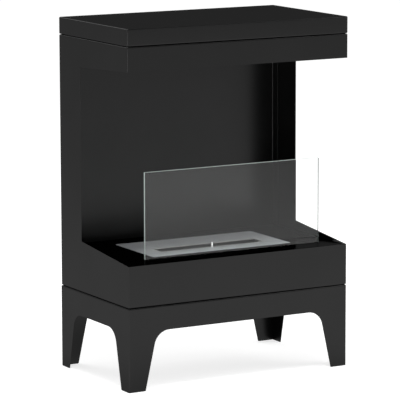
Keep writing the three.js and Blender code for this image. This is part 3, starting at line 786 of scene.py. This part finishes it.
HEAD_FLAT = 0.72  # share of a domed head's radius that is flat
HEAD_DOME = 0.75  # share of its height that is domed
SOCKET_DEPTH = 0.6  # share of its height
SOCKET_BREAK = 0.1 * MM
THREAD_DEPTH = 0.3  # share of the pitch
BLUNT_END = 0.6 * MM


def threaded_bolt(low, high, head_radius, head_height, crest, pitch, socket, pointed=False):
    """Domed head at the bottom with a socket of six flats, then a threaded shank."""
    x, y = (low.x + high.x) / 2, (low.y + high.y) / 2
    top = low.z + head_height
    dome = np.linspace(0, pi / 2, 5)[1:]
    socket_floor = low.z + SOCKET_DEPTH * head_height
    root_depth = THREAD_DEPTH * pitch
    rows = [
        (0, socket_floor),
        (lambda a: six_flats(socket, a), socket_floor),
        (lambda a: six_flats(socket, a), low.z + SOCKET_BREAK),
        (lambda a: six_flats(socket + SOCKET_BREAK, a), low.z),
        (HEAD_FLAT * head_radius, low.z),
    ]
    rows += [(head_radius * (HEAD_FLAT + (1 - HEAD_FLAT) * sin(a)),
              low.z + HEAD_DOME * head_height * (1 - cos(a))) for a in dome]
    rows += [(head_radius, top), (crest, top)]
    taper = 2 * crest if pointed else BLUNT_END
    end_radius = 0.05 * MM if pointed else crest - BLUNT_END
    heights = np.arange(top + pitch / 2, high.z - taper, pitch / 6)
    rows += [(lambda a, z=z: thread(crest, root_depth, pitch, a, z), z) for z in heights]
    rows += [(crest - root_depth, high.z - taper), (end_radius, high.z), (0, high.z)]
    points = swung(x, y, rows)
    return points, grid_quads(*points.shape[:2], closed_columns=True)


COUNTERSINK = 0.5 * MM
CONE_HEIGHT = 0.6 * MM
CONE_START = 0.15 * MM  # inside the flats, at the nut's end faces
CONE_SLOPE = 1.7


def hexagon_nut(low, high, bore):
    """Six flats whose corners are cut by a cone above and below, round a bore with countersunk ends."""
    x, y = (low.x + high.x) / 2, (low.y + high.y) / 2
    along_x = high.x - low.x > high.y - low.y
    corner = max(high.x - low.x, high.y - low.y) / 2
    apothem = corner * cos(pi / 6)
    start = pi / 6 if along_x else 0

    def outside(depth):
        cone = apothem - CONE_START + CONE_SLOPE * depth
        return lambda a: np.minimum(six_flats(apothem, a + start), cone)

    steps = np.linspace(0, CONE_HEIGHT, 5)
    rows = [(bore, low.z + COUNTERSINK), (bore + COUNTERSINK, low.z)]
    rows += [(outside(d), low.z + d) for d in steps]
    rows += [(outside(d), high.z - d) for d in steps[::-1]]
    rows += [(bore + COUNTERSINK, high.z), (bore, high.z - COUNTERSINK)]
    points = swung(x, y, rows)
    return points, grid_quads(*points.shape[:2], closed_rows=True, closed_columns=True)


M6 = {"head_radius": 5.4 * MM, "head_height": 3.2 * MM, "crest": 3 * MM,
      "pitch": 1 * MM, "socket": 2 * MM}
TAPPING = {"head_radius": 3.8 * MM, "head_height": 2.2 * MM, "crest": 2 * MM,
           "pitch": 1.4 * MM, "socket": 1.3 * MM, "pointed": True}
NUT_BORE = 3.3 * MM


def fastener(name, shape, node, sharp):
    piece = make_piece(name, *shape, finishes["zinc_steel"], sharp=sharp)
    stand_for(piece, node, "cabinet")


for corner in ("front_left", "front_right", "rear_left", "rear_right"):
    for row in ("leg", "cap"):
        node = f"{row}_bolt_{corner}"
        fastener(f"{row}_button_bolt_{corner}", threaded_bolt(*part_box(node), **M6), node, 40)
        node = f"{row}_nut_{corner}"
        fastener(f"{row}_chamfered_nut_{corner}", hexagon_nut(*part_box(node), NUT_BORE), node, 30)
    node = f"baffle_screw_{corner}"
    fastener(f"tapping_screw_{corner}", threaded_bolt(*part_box(node), **TAPPING), node, 40)

# %% [markdown]
# ## Fibre block and silicone strip
#
# The fibre block has no flat face and no sharp edge. A box is cut into a grid, its edges are
# rounded, a sum of a few waves dents it inwards, and loose strands lie on top. The silicone strip
# is moulded: a U that holds the pane's foot, copied from its solid with rounder edges.

# %% Soft blocks
def dents(points, length, seed):
    """Smooth values from 0 to 1: (1 + mean of sin(k . p + phase)) / 2 over 9 random waves k."""
    random = np.random.default_rng(seed)
    waves = random.normal(size=(9, 3)) * 2 * pi / length
    phases = random.uniform(0, 2 * pi, 9)
    return (1 + np.sin(points @ waves.T + phases).mean(-1)) / 2


def box_grid(low, high, cell):
    """The six faces of a box as grids of points and quads."""
    low, high = np.array(low), np.array(high)
    count = np.maximum(np.ceil((high - low) / cell).astype(int), 2) + 1
    points, faces, used = [], [], 0
    for axis in range(3):
        u, v = [a for a in range(3) if a != axis]
        for end in (low[axis], high[axis]):
            grid = np.empty((count[u], count[v], 3))
            grid[..., u] = np.linspace(low[u], high[u], count[u])[:, None]
            grid[..., v] = np.linspace(low[v], high[v], count[v])[None, :]
            grid[..., axis] = end
            points.append(grid.reshape(-1, 3))
            faces.append(grid_quads(count[u], count[v]) + used)
            used += count[u] * count[v]
    return np.concatenate(points), np.concatenate(faces)


def soft_block(low, high, cell, round_radius, dent, length, seed):
    """A box rounded by pulling each point to a distance round_radius + growth from the inner box."""
    points, faces = box_grid(low, high, cell)
    inner_low, inner_high = np.array(low) + round_radius, np.array(high) - round_radius
    core = np.clip(points, inner_low, inner_high)
    away = points - core
    away /= np.linalg.norm(away, axis=-1, keepdims=True)
    depth = round_radius - dent * dents(points, length, seed)[:, None]
    return core + away * depth, faces


STRAND_POINTS = 9
STRAND_SIDES = 3


def loose_strands(low, high, count, radius, seed):
    """Thin bent three-sided fibres on the top: p(t) = start + t * heading + bow * sin(pi t)."""
    random = np.random.default_rng(seed)
    t = np.linspace(0, 1, STRAND_POINTS)
    start = np.stack([random.uniform(low.x + 0.02, high.x - 0.02, count),
                      random.uniform(low.y + 0.006, high.y - 0.006, count),
                      np.full(count, high.z - 1.1 * MM)], -1)
    heading = random.normal(size=(count, 3)) * (9 * MM, 1.8 * MM, 0)
    bow = random.normal(size=(count, 3)) * (0, 1.2 * MM, 0) + (0, 0, 0.8 * MM)
    middle = start[:, None] + t[:, None] * heading[:, None] + np.sin(pi * t)[:, None] * bow[:, None]
    angle = np.linspace(0, 2 * pi, STRAND_SIDES, endpoint=False)
    round_it = radius * np.stack([0 * angle, np.cos(angle), np.sin(angle)], -1)
    inside = 0.1 * MM
    points = np.clip(middle[:, :, None] + round_it, np.array(low) + inside, np.array(high) - inside)
    quads = grid_quads(STRAND_POINTS, STRAND_SIDES, closed_columns=True)
    end = (STRAND_POINTS - 1) * STRAND_SIDES
    caps = np.array([[0, 1, 2, 2], [end, end + 1, end + 2, end + 2]])
    one = np.concatenate([quads, caps])
    faces = [[*dict.fromkeys(f + STRAND_POINTS * STRAND_SIDES * k)] for k in range(count) for f in one]
    return points.reshape(-1, 3), faces


wool_low, wool_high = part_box("ceramic_wool")
block_points, block_faces = soft_block(wool_low, wool_high, 2.5 * MM, 3 * MM, 1.6 * MM, 16 * MM, 3)
strand_points, strand_faces = loose_strands(wool_low, wool_high, 260, 0.12 * MM, 7)
wool_points = np.concatenate([block_points, strand_points])
wool_faces = [*block_faces, *([k + len(block_points) for k in f] for f in strand_faces)]
wool = make_piece("matted_fibre_block", wool_points, wool_faces, finishes["ceramic_fibre"], sharp=80)
stand_for(wool, "ceramic_wool", "burner")

MOULDED_ROUND = 0.3 * MM
deburred("glass_seal", "pressed_silicone_strip", "cabinet", "silicone", broken=MOULDED_ROUND)

bpy.context.scene.view_settings.view_transform = "Standard"
